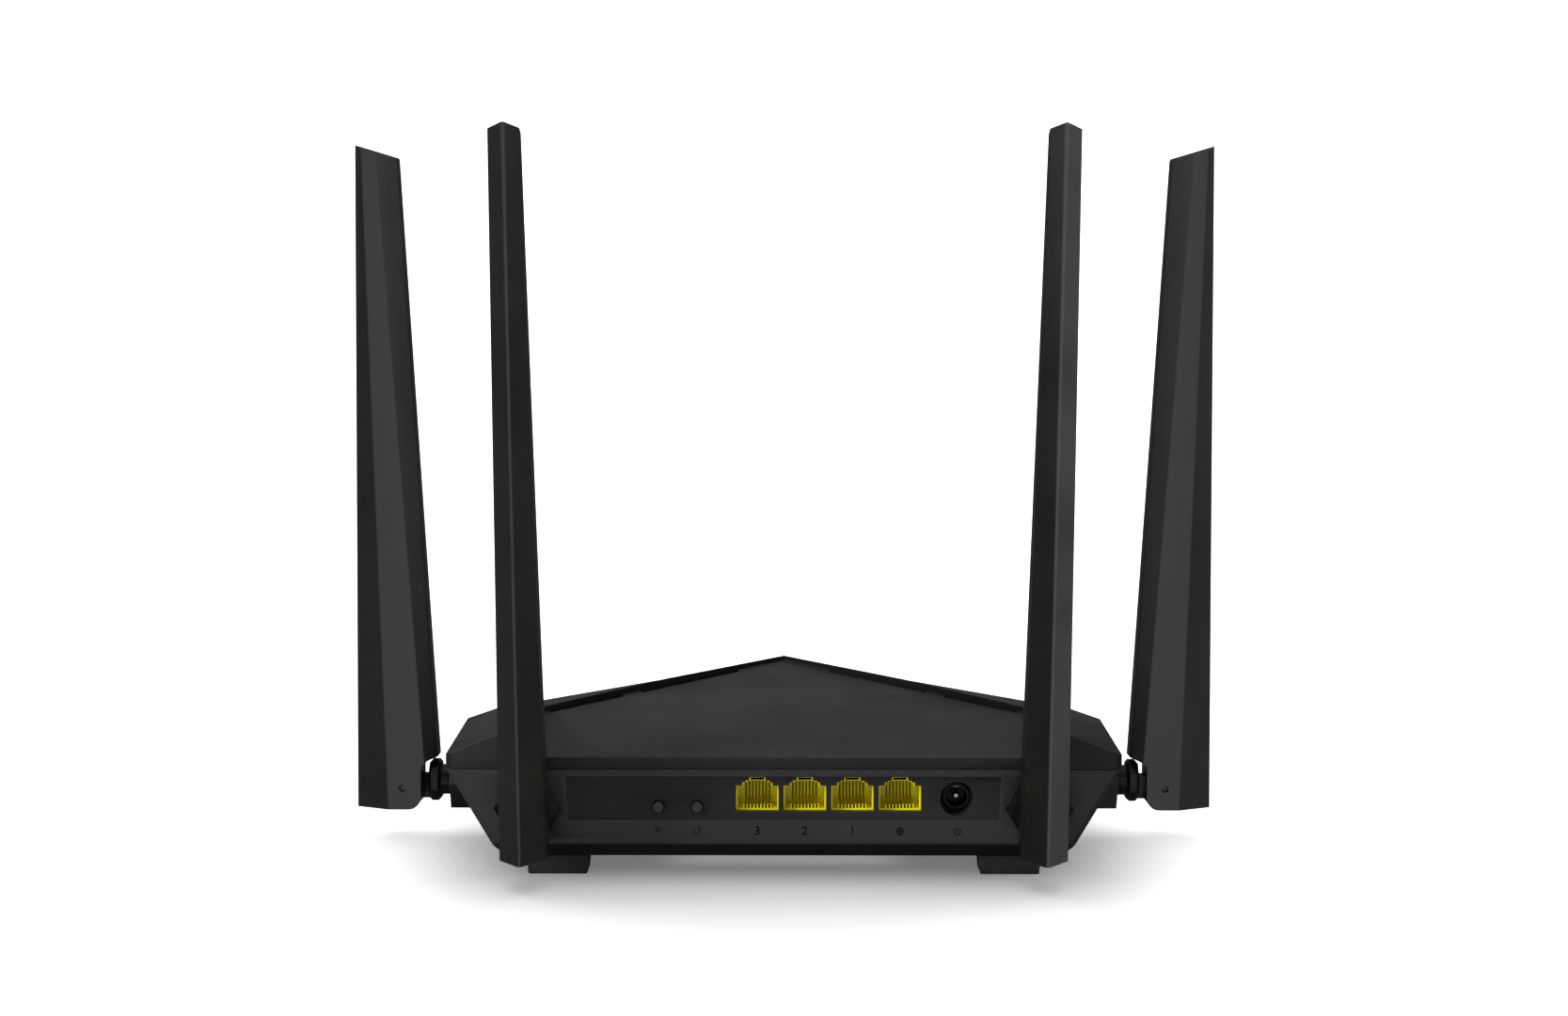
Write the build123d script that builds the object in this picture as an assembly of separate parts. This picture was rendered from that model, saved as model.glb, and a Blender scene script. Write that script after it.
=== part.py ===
"""Desktop wireless router with four folding antennas.

Millimetres. +Z is up, the feet stand on z = 0, the sockets face +Y and the status lights face -Y.
The origin is the middle of the whole object's footprint. "right" is +X, as seen from the lights.
"""
from build123d import *
import math
import os

os.makedirs("parts", exist_ok=True)

# ---------------------------------------------------------------- driving dimensions
REAR_Y = 56.1            # plane of the rear face
REAR_HALF = 100.9        # half width at the rear, on the seam
SIDE_HALF = 104.0        # half width at the widest corner
SIDE_DEPTH = 86.0        # depth of the widest corner, ahead of the rear face
SHOULDER_HALF = 82.0     # half width where the nose begins
SHOULDER_DEPTH = 117.0
NOSE_DEPTH = 141.0
SEAM_Z = 32.5            # height of the joint line between the two shells
SEAM_GAP = 0.3
FLOOR_Z = 5.8            # underside of the lower shell
CHAMFER_Z = 10.1         # where the underside chamfer starts
WALL = 2.2
REAR_WALL = 3.4
SIDE_LEAN = 0.6          # inward run of the lower side walls for each mm down
FRONT_LEAN = 0.45

RECESS_DEPTH = 1.2       # panel that holds the sockets
RECESS_TOP = 30.4
RECESS_LOW = 17.3
RECESS_HALF_TOP = 65.0
RECESS_HALF_LOW = 64.4

PLATE_Z = 36.2           # rear edge of the sunken top plate
PLATE_SLOPE = 0.1642
PLATE_HALF = 73.0
PLATE_APEX = 100.0
EDGE_RUN = 0.769         # depth lost along the plate's front edges for each mm outward
SLOT_WIDTH = 2.2
SLOTS = [(15.0, 46.0), (51.4, 73.4)]

SOCKET_PITCH = 14.2
SOCKET_FIRST_X = 7.9
SOCKETS = 4
SOCKET_BASE_Z = 19.75    # underside of the plug opening
SOCKET_FACE = REAR_WALL + 0.1
SOCKET_BODY_DEPTH = 14.5
SOCKET_STEPS = [(12.7, 27.45), (9.0, 28.45), (7.1, 28.95), (4.9, 29.95)]   # width, top
SOCKET_LIP = 0.45        # moulding seen inside the housing's opening
CONTACTS = 8
CONTACT_PITCH = 1.02
CONTACT_THICK = 0.36
CONTACT_GROOVE = 0.6
POWER_X = -51.8
POWER_Z = 23.4
POWER_FACE = 6.2         # depth of the inlet's own face
POWER_BORE_R = 3.15
BUTTON_X = {"wireless_button": 37.5, "reset_button": 25.9}
BUTTON_Z = 21.0
BUTTON_R = 1.75
BUTTON_HOLE_R = 2.05
BUTTON_PROUD = 1.3
SWITCH_FACE = REAR_Y - REAR_WALL - 3.9

# roof planes: x, depth and height of one point, then the rise for each mm outward and forward
ROOF_RIM = (REAR_HALF, 0.0, 36.8, -0.385, 0.0)
ROOF_WING = (0.0, 0.0, 61.9, -0.186, -0.060)
ROOF_SHOULDER = (39.8, 71.5, 50.2, -0.016, -0.96)
ROOF_PROW = (0.0, 102.2, 54.5, -0.568, -0.60)
ROOF_DECK = (0.0, 90.0, 42.0, -0.07, -0.07)
DECK_START = 72.0
ROOF_DROP = 2.2          # thickness of the roof, measured upright
PLATE_MARGIN = 2.0       # plate carried on under its walls by this much

LIGHTS = 7               # status lights in the front deck
LIGHT_PITCH = 7.0
LIGHT_Y = REAR_Y - 121.0
LIGHT_SIZE = (4.0, 1.6)

# columns for the case screws, feet and board screws
BOSSES = [(84.0, REAR_Y - 26.0), (58.0, REAR_Y - 112.0), (-84.0, REAR_Y - 26.0), (-58.0, REAR_Y - 112.0)]
BOSS_R = 3.4
BOSS_LENGTH = 9.0
SCREW_R = 1.5
FEET = [(67.9, REAR_Y - 11.5), (-67.9, REAR_Y - 11.5), (48.0, REAR_Y - 104.0), (-48.0, REAR_Y - 104.0)]
FOOT_SIZE = (18.6, 14.0)
FOOT_TAPER = 0.9
BOARD_HOLES = [(60.0, REAR_Y - 12.0), (-60.0, REAR_Y - 12.0), (60.0, REAR_Y - 98.0), (-60.0, REAR_Y - 98.0)]
AIR_SLOTS = 9
AIR_SLOT_PITCH = 9.0

BOARD_LOW = 14.0
BOARD_TOP = 15.6
BOARD_HALF = 66.0
BOARD_REAR = REAR_Y - 5.0
BOARD_FRONT = REAR_Y - 104.0

# parts on the board: x, y, width, depth, height
PROCESSOR_Y = REAR_Y - 62.0
PROCESSOR = (0.0, PROCESSOR_Y, 16.0, 16.0, 1.4)
PAD = (0.0, PROCESSOR_Y, 15.0, 15.0, 0.8)
SINK_HALF = 15.0
SINK_FINS = 9
MEMORY = [(27.0, PROCESSOR_Y + 6.0, 11.0, 13.0, 1.2), (27.0, PROCESSOR_Y - 12.0, 9.0, 12.0, 1.2)]
RADIO_X = 48.0
RADIO_CHIP = (10.0, 10.0, 1.0)
SHIELD = (22.0, 30.0, 4.0)
SHIELD_WALL = 0.4
TRANSFORMER = (REAR_Y - 28.0, 12.0, 7.5, 5.5)
CAPACITORS = [   # x, y, radius, height
    (-50.0, REAR_Y - 31.0, 4.0, 11.0),
    (-60.0, REAR_Y - 30.0, 3.1, 9.0),
    (-44.3, REAR_Y - 24.0, 2.3, 8.0),
]
INDUCTORS = [(-20.0, REAR_Y - 42.0, 7.0, 7.0, 3.4), (-29.0, REAR_Y - 42.0, 7.0, 7.0, 3.4)]
CRYSTAL = (14.0, REAR_Y - 84.0, 5.0, 3.2, 1.2)
LAMP = (2.0, 1.3, 0.8)
LEAD_R = 0.7
LEAD_Z = BOARD_TOP + 1.5
LEAD_BEND = 8.0
PLUG_X = 38.0

SWIVEL_Z = 17.5
REAR_SWIVEL_X = 76.3
REAR_LEAN_DEG = 1.05     # the rear pair stands slightly splayed
POCKET_Z = 20.7
POCKET_R = 10.2
POCKET_DEPTH = 2.0
SIDE_SWIVEL_Y = REAR_Y - 73.0
SIDE_BOSS_X = 107.5
SIDE_BOSS_R = 9.9
SIDE_BOSS_LENGTH = 21.0
REAR_SHAFT = 9.2           # shaft length inside the seat
SIDE_SHAFT = 24.0
SHAFT_R = 4.85
BORE_R = 4.93
CABLE_BORE_R = 2.4
FLANGE_R = 6.5
PIN_OUT = 15.4           # hinge pin, outward from the swivel's seat
PIN_DROP = 1.9           # and below the swivel's axis
PIN_R = 1.2
TONGUE_HALF = 3.8
TONGUE_THICK = 5.0
CLEVIS_GAP = 5.5

BLADE_TOP = 206.4        # blade ends, measured along it from the hinge pin
BLADE_LOW = -7.0
BLADE_WALL = 1.6

SIDES = {"right": 1, "left": -1}


# ---------------------------------------------------------------- general helpers
def box(x0, x1, y0, y1, z0, z1):
    """Axis-aligned block between two corners."""
    size = (abs(x1 - x0), abs(y1 - y0), abs(z1 - z0))
    middle = ((x0 + x1) / 2, (y0 + y1) / 2, (z0 + z1) / 2)
    return Pos(*middle) * Box(*size)


def rod(start, direction, radius, length):
    """Cylinder from a start point along a direction."""
    plane = Plane(origin=start, z_dir=direction)
    return extrude(plane * Circle(radius), length)


def prism(points, z0, z1):
    """Upright prism over a plan outline."""
    face = make_face(Polyline(*[(x, y, z0) for x, y in points], close=True))
    return extrude(face, z1 - z0, dir=(0, 0, 1))


def below(solid, x, depth, z, slope_x, slope_depth):
    """Keep what lies under a roof plane, given one point and its two slopes."""
    plane = Plane(origin=(x, REAR_Y - depth, z), z_dir=(-slope_x, slope_depth, 1))
    return split(solid, bisect_by=plane, keep=Keep.BOTTOM)


def inside_edge(solid, a, b, z, lean, inset):
    """Keep what lies inside a wall plane standing on the plan edge a-b (listed clockwise from above)."""
    run = math.hypot(b[0] - a[0], b[1] - a[1])
    nx, ny = -(b[1] - a[1]) / run, (b[0] - a[0]) / run
    shift = inset * math.hypot(1, lean)
    origin = (a[0] - nx * shift, a[1] - ny * shift, z)
    return split(solid, bisect_by=Plane(origin=origin, z_dir=(nx, ny, -lean)), keep=Keep.BOTTOM)


def hexagon(plane, radius, length):
    """Hexagonal prism with two corners left and right."""
    return extrude(plane * RegularPolygon(radius, 6), length)


def save(shape, name):
    export_step(shape, "parts/" + name + ".step")


# ---------------------------------------------------------------- shells
def plan_outline():
    """Plan corners of the body, clockwise from above, starting at the rear left."""
    half = [
        (REAR_HALF, REAR_Y),
        (SIDE_HALF, REAR_Y - SIDE_DEPTH),
        (SHOULDER_HALF, REAR_Y - SHOULDER_DEPTH),
    ]
    nose = (0.0, REAR_Y - NOSE_DEPTH)
    mirrored = [(-x, y) for x, y in reversed(half)]
    return half + [nose] + mirrored


def outline_edges():
    """Each plan edge with its lean: the rear stands upright, the sides and front lean in."""
    points = plan_outline()
    leans = [SIDE_LEAN, FRONT_LEAN, FRONT_LEAN, FRONT_LEAN, FRONT_LEAN, SIDE_LEAN, 0.0]
    return list(zip(points, points[1:] + points[:1], leans))


def lower_block(wall, rear_wall, floor):
    """Solid lower body, drawn in by the given wall thicknesses."""
    block = box(-130, 130, REAR_Y - 160, REAR_Y + 10, floor, SEAM_Z - SEAM_GAP / 2)
    for a, b, lean in outline_edges():
        inset = rear_wall if lean == 0.0 else wall
        block = inside_edge(block, a, b, SEAM_Z, lean, inset)
        toe = lean * (SEAM_Z - CHAMFER_Z)
        block = inside_edge(block, a, b, CHAMFER_Z, 1.0, inset + toe / math.hypot(1, 1))
    return block


def under_roof(solid, side, roof, drop):
    """Keep what lies under one roof plane on one side, lowered by the roof's thickness."""
    x, depth, z, slope_x, slope_depth = roof
    return below(solid, side * x, depth, z - drop, side * slope_x, slope_depth)


def cover_roof(block, drop):
    """Raised faceted roof: two outer wings, the prow ahead of the plate, and a low front deck."""
    deck_start = Plane(origin=(0, REAR_Y - DECK_START, 0), z_dir=(0, 1, 0))
    roof = split(block, bisect_by=deck_start, keep=Keep.BOTTOM)
    prow = block
    for s in SIDES.values():
        roof = under_roof(roof, s, ROOF_RIM, drop)
        roof = under_roof(roof, s, ROOF_DECK, drop)
        for plane in (ROOF_RIM, ROOF_WING, ROOF_PROW):
            prow = under_roof(prow, s, plane, drop)
    roof += prow
    for s in SIDES.values():
        wing = split(block, bisect_by=Plane(origin=(0, 0, 0), z_dir=(-s, 0, 0)), keep=Keep.BOTTOM)
        for plane in (ROOF_RIM, ROOF_WING, ROOF_SHOULDER):
            wing = under_roof(wing, s, plane, drop)
        roof += wing
    return roof


def plate_cut(drop, grow):
    """Space over the sunken top plate, whose front edges meet at the apex."""
    side = PLATE_HALF + grow
    reach = PLATE_APEX + SLOT_WIDTH + grow * 1.3
    corner_depth = reach - EDGE_RUN * (side + 2)
    half = [(side, REAR_Y + 5), (side + 2, REAR_Y - corner_depth)]
    points = half + [(0.0, REAR_Y - reach)] + [(-x, y) for x, y in reversed(half)]
    cut = prism(points, 20, 80)
    plane = Plane(origin=(0, REAR_Y, PLATE_Z - drop), z_dir=(0, PLATE_SLOPE, 1))
    return split(cut, bisect_by=plane, keep=Keep.TOP)


def cover_block(wall, drop, margin, z0):
    """Solid cover, drawn in by the wall and lowered by the roof's thickness."""
    block = box(-130, 130, REAR_Y - 160, REAR_Y + 10, z0, 70)
    for a, b, lean in outline_edges():
        block = inside_edge(block, a, b, SEAM_Z, 0.0, wall)
    return cover_roof(block, drop) - plate_cut(drop, margin)


def vent_slots():
    """Four long slots at the foot of the plate's front walls."""
    slots = []
    for s in SIDES.values():
        for x0, x1 in SLOTS:
            y0 = REAR_Y - PLATE_APEX + EDGE_RUN * x0
            y1 = REAR_Y - PLATE_APEX + EDGE_RUN * x1
            points = [(s * x0, y0), (s * x1, y1), (s * x1, y1 - SLOT_WIDTH), (s * x0, y0 - SLOT_WIDTH)]
            slots.append(prism(points if s < 0 else points[::-1], 30, 80))
    return slots


def light_x(i):
    return (i - (LIGHTS - 1) / 2) * LIGHT_PITCH


def deck_z(x, y):
    """Height of the front deck over one point."""
    start, depth, z, slope_x, slope_depth = ROOF_DECK
    return z + slope_x * (abs(x) - start) + slope_depth * (REAR_Y - y - depth)


def light_slot(i):
    """Window in the front deck for one status light."""
    x = light_x(i)
    width, depth = LIGHT_SIZE
    return box(x - width / 2, x + width / 2, LIGHT_Y - depth / 2, LIGHT_Y + depth / 2, 33, 45)


def make_top_cover():
    outer = cover_block(0, 0, 0, SEAM_Z + SEAM_GAP / 2)
    corners = [
        e
        for e in outer.edges().filter_by(Axis.Z)
        if e.center().Y > REAR_Y - 0.1 and abs(e.center().X) > 95
    ]
    outer = fillet(corners, 2.4)
    shell = outer - cover_block(WALL, ROOF_DROP, PLATE_MARGIN, 0)
    for slot in vent_slots():
        shell -= slot
    for i in range(LIGHTS):
        shell -= light_slot(i)
    for x, y in BOSSES:
        room = outer + box(x - 9, x + 9, y - 9, y + 9, 20, SEAM_Z + 1)
        post = rod((x, y, SEAM_Z - BOSS_LENGTH), (0, 0, 1), BOSS_R, 40) & room
        shell += post - rod((x, y, SEAM_Z - BOSS_LENGTH - 1), (0, 0, 1), 1.1, BOSS_LENGTH + 0.5)
    return shell


def swivel_seats():
    """(name, seat point, outward direction) of each of the four antennas."""
    seats = []
    for name, s in SIDES.items():
        seats.append(("rear_" + name, (s * REAR_SWIVEL_X, REAR_Y - POCKET_DEPTH, SWIVEL_Z), (0, 1, 0)))
        seats.append(("side_" + name, (s * SIDE_BOSS_X, SIDE_SWIVEL_Y, SWIVEL_Z), (s, 0, 0)))
    return seats


def plug_opening(x, depth0, depth1, clear):
    """Stepped opening of one network socket: wide body, two shoulders and the latch notch on top."""
    y0, y1 = REAR_Y - depth1, REAR_Y - depth0
    z = SOCKET_BASE_Z - clear
    hole = None
    for width, top in SOCKET_STEPS:
        block = box(x - width / 2 - clear, x + width / 2 + clear, y0, y1, z, top + clear)
        hole = block if hole is None else hole + block
    return hole


def socket_x(i):
    return SOCKET_FIRST_X - SOCKET_PITCH * i


def make_lower_housing():
    outer = lower_block(0, 0, FLOOR_Z)
    corners = [
        e
        for e in outer.edges()
        if e.center().Y > REAR_Y - 0.5 and abs(e.center().X) > 90
        and CHAMFER_Z + 2 < e.center().Z < SEAM_Z - 2
    ]
    outer = fillet(corners, 2.2)
    inner = lower_block(WALL, REAR_WALL, FLOOR_Z + WALL)
    lid = box(-90, 90, REAR_Y - 90, REAR_Y - 20, SEAM_Z - 1, SEAM_Z + 1)
    inner += lid & lower_block(WALL, REAR_WALL, SEAM_Z - 2)
    shell = outer - inner

    # sunken socket panel
    recess = [
        (-RECESS_HALF_LOW, RECESS_LOW),
        (RECESS_HALF_LOW, RECESS_LOW),
        (RECESS_HALF_TOP, RECESS_TOP),
        (-RECESS_HALF_TOP, RECESS_TOP),
    ]
    face = make_face(Polyline(*[(x, REAR_Y - RECESS_DEPTH, z) for x, z in recess], close=True))
    shell -= extrude(face, 5, dir=(0, 1, 0))

    # openings for the sockets, the power inlet and the two buttons
    for i in range(SOCKETS):
        shell -= plug_opening(socket_x(i), -1, 5, 0)
    power_collar = rod((POWER_X, REAR_Y - 6, POWER_Z), (0, 1, 0), 6.0, 3)
    shell += power_collar
    cone_plane = Plane(origin=(POWER_X, REAR_Y - RECESS_DEPTH, POWER_Z), z_dir=(0, -1, 0))
    shell -= loft([cone_plane * Circle(5.25), cone_plane.offset(4.9) * Circle(4.2)])
    for x in BUTTON_X.values():
        shell -= rod((x, REAR_Y - 5, BUTTON_Z), (0, 1, 0), BUTTON_HOLE_R, 6)

    # swivel seats: a pocket for each rear antenna and a boss for each side antenna
    for name, seat, out in swivel_seats():
        inward = tuple(-v for v in out)
        if name.startswith("rear"):
            pocket = Plane(origin=(seat[0], seat[1], POCKET_Z), x_dir=(1, 0, 0), z_dir=out)
            shell -= hexagon(pocket, POCKET_R, 5)
            shell += rod(seat, inward, 7.2, 6)
            shell -= rod((seat[0], seat[1] + 1, seat[2]), inward, BORE_R, 9)
        else:
            plane = Plane(origin=seat, x_dir=(0, 1, 0), z_dir=inward)
            shell += hexagon(plane, SIDE_BOSS_R, SIDE_BOSS_LENGTH)
            shell -= rod((seat[0] + out[0], seat[1], seat[2]), inward, BORE_R, SIDE_BOSS_LENGTH + 4)

    # board standoffs and screw columns
    for x, y in BOARD_HOLES:
        shell += rod((x, y, FLOOR_Z + 1), (0, 0, 1), 3.0, BOARD_LOW - FLOOR_Z - 1)
        shell -= rod((x, y, FLOOR_Z + WALL), (0, 0, 1), 0.95, 20)
    for x, y in BOSSES:
        shell += rod((x, y, FLOOR_Z + 1), (0, 0, 1), BOSS_R + 1, SEAM_Z - BOSS_LENGTH - 0.2 - FLOOR_Z - 1)
        shell -= rod((x, y, FLOOR_Z - 1), (0, 0, 1), SCREW_R + 0.15, 40)
        shell -= rod((x, y, FLOOR_Z - 1), (0, 0, 1), 3.1, 7)

    # underside air slots
    for i in range(AIR_SLOTS):
        x = (i - (AIR_SLOTS - 1) / 2) * AIR_SLOT_PITCH
        shell -= box(x - 1.25, x + 1.25, REAR_Y - 76, REAR_Y - 50, FLOOR_Z - 1, FLOOR_Z + WALL + 1)
    return shell


# ---------------------------------------------------------------- housing details
def make_feet():
    feet = []
    for x, y in FEET:
        top = Pos(x, y, FLOOR_Z) * Rectangle(*FOOT_SIZE)
        low = Pos(x, y, 0) * Rectangle(FOOT_SIZE[0] - FOOT_TAPER, FOOT_SIZE[1] - FOOT_TAPER)
        feet.append(loft([low, top]))
    return Compound(children=feet)


def make_screw(x, y, z_head, up, head_r, shank_r, length):
    """Pan-head screw with a cross slot, its head at z_head and its shank running up or down."""
    direction = (0, 0, 1 if up else -1)
    screw = rod((x, y, z_head), direction, head_r, 1.6) + rod((x, y, z_head), direction, shank_r, length)
    z0, z1 = sorted((z_head, z_head + 0.8 * direction[2]))
    screw -= box(x - head_r * 0.6, x + head_r * 0.6, y - 0.25, y + 0.25, z0, z1)
    return screw - box(x - 0.25, x + 0.25, y - head_r * 0.6, y + head_r * 0.6, z0, z1)


def make_case_screws():
    return Compound(children=[make_screw(x, y, FLOOR_Z + 4.4, True, 2.8, 1.05, 17.0) for x, y in BOSSES])


def make_board_screws():
    return Compound(children=[make_screw(x, y, BOARD_TOP + 1.6, False, 2.6, 0.9, 7.0) for x, y in BOARD_HOLES])


def make_board():
    board = box(-BOARD_HALF, BOARD_HALF, BOARD_FRONT, BOARD_REAR, BOARD_LOW, BOARD_TOP)
    for x, y in BOARD_HOLES:
        board -= rod((x, y, BOARD_LOW - 1), (0, 0, 1), 1.3, 5)
    return board


def make_label():
    return box(-34, 34, REAR_Y - 44, REAR_Y - 20, FLOOR_Z - 0.25, FLOOR_Z)


# ---------------------------------------------------------------- sockets
def make_socket_block():
    """Four network sockets moulded as one block."""
    x_hi = socket_x(0) + 7.6
    x_lo = socket_x(SOCKETS - 1) - 7.6
    y_face = REAR_Y - SOCKET_FACE
    block = box(x_lo, x_hi, y_face - SOCKET_BODY_DEPTH, y_face, BOARD_TOP, 31.6)
    for i in range(SOCKETS):
        x = socket_x(i)
        block -= plug_opening(x, SOCKET_FACE - 1, SOCKET_FACE + 11.5, -SOCKET_LIP)
        for k in range(CONTACTS):
            gx = x + (k - (CONTACTS - 1) / 2) * CONTACT_PITCH
            x0, x1 = gx - CONTACT_GROOVE / 2, gx + CONTACT_GROOVE / 2
            block -= box(x0, x1, y_face - 12.2, y_face - 1.2, SOCKET_BASE_Z - 0.9, SOCKET_BASE_Z + 1)
            block -= box(x0, x1, y_face - 12.4, y_face - 11, SOCKET_BASE_Z, 26.5)
    return block


def make_socket_contacts():
    """Eight sprung wires in each socket, rising from the floor comb towards the back."""
    wires = []
    y_face = REAR_Y - SOCKET_FACE
    for i in range(SOCKETS):
        for k in range(CONTACTS):
            x = socket_x(i) + (k - (CONTACTS - 1) / 2) * CONTACT_PITCH
            path = Polyline(
                (x, y_face - 2.0, SOCKET_BASE_Z - 0.45),
                (x, y_face - 3.0, SOCKET_BASE_Z - 0.45),
                (x, y_face - 10.6, SOCKET_BASE_Z + 2.4),
            )
            section = Plane(origin=path @ 0, z_dir=path % 0) * Rectangle(CONTACT_THICK, CONTACT_THICK)
            wires.append(sweep(section, path=path, transition=Transition.RIGHT))
    return Compound(children=wires)


def make_power_socket():
    y_face = REAR_Y - POWER_FACE
    body = rod((POWER_X, y_face - 11.5, POWER_Z), (0, 1, 0), 4.0, 11.5)
    body += box(POWER_X - 4.6, POWER_X + 4.6, y_face - 13.5, y_face - 2.6, BOARD_TOP, POWER_Z + 4.9)
    body -= rod((POWER_X, y_face - 10, POWER_Z), (0, 1, 0), POWER_BORE_R, 12)
    return body


def make_power_contacts():
    y_face = REAR_Y - POWER_FACE
    pin = rod((POWER_X, y_face - 10, POWER_Z), (0, 1, 0), 1.0, 8.8)
    pin = fillet(pin.edges().filter_by(GeomType.CIRCLE).sort_by(Axis.Y)[-1], 0.6)
    leaf = box(POWER_X - 1.6, POWER_X + 1.6, y_face - 9.9, y_face - 2.5, POWER_Z + 2.45, POWER_Z + 2.7)
    return Compound(children=[pin, leaf])


def make_button(x):
    """Round cap with a retaining flange behind the panel."""
    wall_inner = REAR_Y - REAR_WALL
    y_cap = REAR_Y - RECESS_DEPTH + BUTTON_PROUD
    cap = rod((x, wall_inner - 1.2, BUTTON_Z), (0, 1, 0), BUTTON_R, y_cap - wall_inner + 1.2)
    cap = fillet(cap.edges().filter_by(GeomType.CIRCLE).sort_by(Axis.Y)[-1], 0.35)
    flange = rod((x, wall_inner - 1.3, BUTTON_Z), (0, 1, 0), 3.0, 1.2)
    stem = rod((x, wall_inner - 2.75, BUTTON_Z), (0, 1, 0), 1.2, 1.6)
    return cap + flange + stem


def make_switches():
    """Side-push switches behind the buttons, each with a small plunger."""
    switches = []
    for x in BUTTON_X.values():
        body = box(x - 3.2, x + 3.2, SWITCH_FACE - 4.5, SWITCH_FACE, BOARD_TOP, BUTTON_Z + 3.0)
        switches.append(body + rod((x, SWITCH_FACE - 1, BUTTON_Z), (0, 1, 0), 1.3, 1.6))
    return Compound(children=switches)


# ---------------------------------------------------------------- board components
def chip(x, y, width, depth, height):
    return box(x - width / 2, x + width / 2, y - depth / 2, y + depth / 2, BOARD_TOP, BOARD_TOP + height)


def make_processor():
    return chip(*PROCESSOR)


def make_thermal_pad():
    return Pos(0, 0, PROCESSOR[4]) * chip(*PAD)


def make_heat_sink():
    base_z = BOARD_TOP + PROCESSOR[4] + PAD[4]
    y0, y1 = PROCESSOR_Y - SINK_HALF, PROCESSOR_Y + SINK_HALF
    sink = box(-SINK_HALF, SINK_HALF, y0, y1, base_z, base_z + 2)
    for i in range(SINK_FINS):
        x = (i - (SINK_FINS - 1) / 2) * 3.4
        sink += box(x - 0.5, x + 0.5, y0, y1, base_z + 1.9, base_z + 9)
    return sink


def make_memory():
    return Compound(children=[chip(*spot) for spot in MEMORY])


def make_radio_chips():
    return Compound(children=[chip(s * RADIO_X, PROCESSOR_Y, *RADIO_CHIP) for s in SIDES.values()])


def make_radio_shields():
    """Pressed lids over the two radio sections, each open underneath."""
    width, depth, height = SHIELD
    cans = []
    for s in SIDES.values():
        can = chip(s * RADIO_X, PROCESSOR_Y, width, depth, height)
        room = chip(s * RADIO_X, PROCESSOR_Y, width - 2 * SHIELD_WALL, depth - 2 * SHIELD_WALL, height)
        cans.append(can - Pos(0, 0, -SHIELD_WALL) * room)
    return Compound(children=cans)


def make_transformers():
    return Compound(children=[chip(socket_x(i), *TRANSFORMER) for i in range(SOCKETS)])


def make_capacitors():
    return Compound(children=[rod((x, y, BOARD_TOP), (0, 0, 1), r, h) for x, y, r, h in CAPACITORS])


def make_inductors():
    return Compound(children=[chip(*spot) for spot in INDUCTORS])


def make_crystal():
    return chip(*CRYSTAL)


def make_status_lights():
    """Surface-mounted lamps at the front edge of the board."""
    return Compound(children=[chip(light_x(i), BOARD_FRONT + 3, *LAMP) for i in range(LIGHTS)])


def make_light_guide():
    """Clear bar with one finger for each window in the front deck."""
    y_lamp = BOARD_FRONT + 3
    guide = None
    for i in range(LIGHTS):
        x = light_x(i)
        foot = box(x - 1.3, x + 1.3, LIGHT_Y - 0.8, y_lamp + 1.0, BOARD_TOP + 2.0, BOARD_TOP + 4.6)
        finger = box(x - 1.9, x + 1.9, LIGHT_Y - 0.7, LIGHT_Y + 0.7, BOARD_TOP + 2.0, deck_z(x, LIGHT_Y) - 0.15)
        part = foot + finger
        guide = part if guide is None else guide + part
    rail = box(light_x(0) - 3, light_x(LIGHTS - 1) + 3, LIGHT_Y - 0.7, LIGHT_Y + 2.2, 26, 28)
    return guide + rail


# ---------------------------------------------------------------- antenna leads
def plug_spot(name):
    """Board end of each lead: x distance from the middle, and y."""
    return (PLUG_X, REAR_Y - 40.0) if name.startswith("rear") else (PLUG_X, REAR_Y - 84.0)


def make_lead_plugs():
    plugs = []
    for name, seat, out in swivel_seats():
        s = 1 if seat[0] > 0 else -1
        x, y = plug_spot(name)
        plugs.append(box(s * (x - 3), s * x, y - 1.5, y + 1.5, BOARD_TOP, LEAD_Z + 1.0))
    return Compound(children=plugs)


def make_lead(name, seat, out):
    """Coaxial lead from its plug on the board to the inner end of the swivel."""
    s = 1 if seat[0] > 0 else -1
    px, py = plug_spot(name)
    bend = LEAD_BEND
    if out[1]:
        x_end, y_end = seat[0], seat[1] - REAR_SHAFT - 1.3
        turn_y = py
        flat = Line((s * px, turn_y, LEAD_Z), (x_end - s * bend, turn_y, LEAD_Z))
        arc = TangentArc((x_end - s * bend, turn_y, LEAD_Z), (x_end, turn_y + bend, LEAD_Z), tangent=(s, 0, 0))
        tail = Line((x_end, turn_y + bend, LEAD_Z), (x_end, y_end, LEAD_Z))
        path = flat + arc + tail
    else:
        x_mid = s * (px + 14)
        x_end = seat[0] - s * (SIDE_SHAFT + 0.5)
        first = Line((s * px, py, LEAD_Z), (x_mid, py, LEAD_Z))
        arc1 = TangentArc((x_mid, py, LEAD_Z), (x_mid + s * bend, py + bend, LEAD_Z), tangent=(s, 0, 0))
        run_y = seat[1] - bend
        run = Line((x_mid + s * bend, py + bend, LEAD_Z), (x_mid + s * bend, run_y, LEAD_Z))
        corner = (x_mid + s * 2 * bend, seat[1], LEAD_Z)
        arc2 = TangentArc((x_mid + s * bend, run_y, LEAD_Z), corner, tangent=(0, 1, 0))
        tail = Line(corner, (x_end, seat[1], LEAD_Z))
        path = first + arc1 + run + arc2 + tail
    section = Plane(origin=(s * px, py, LEAD_Z), z_dir=(s, 0, 0)) * Circle(LEAD_R)
    return sweep(section, path=path)


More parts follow.
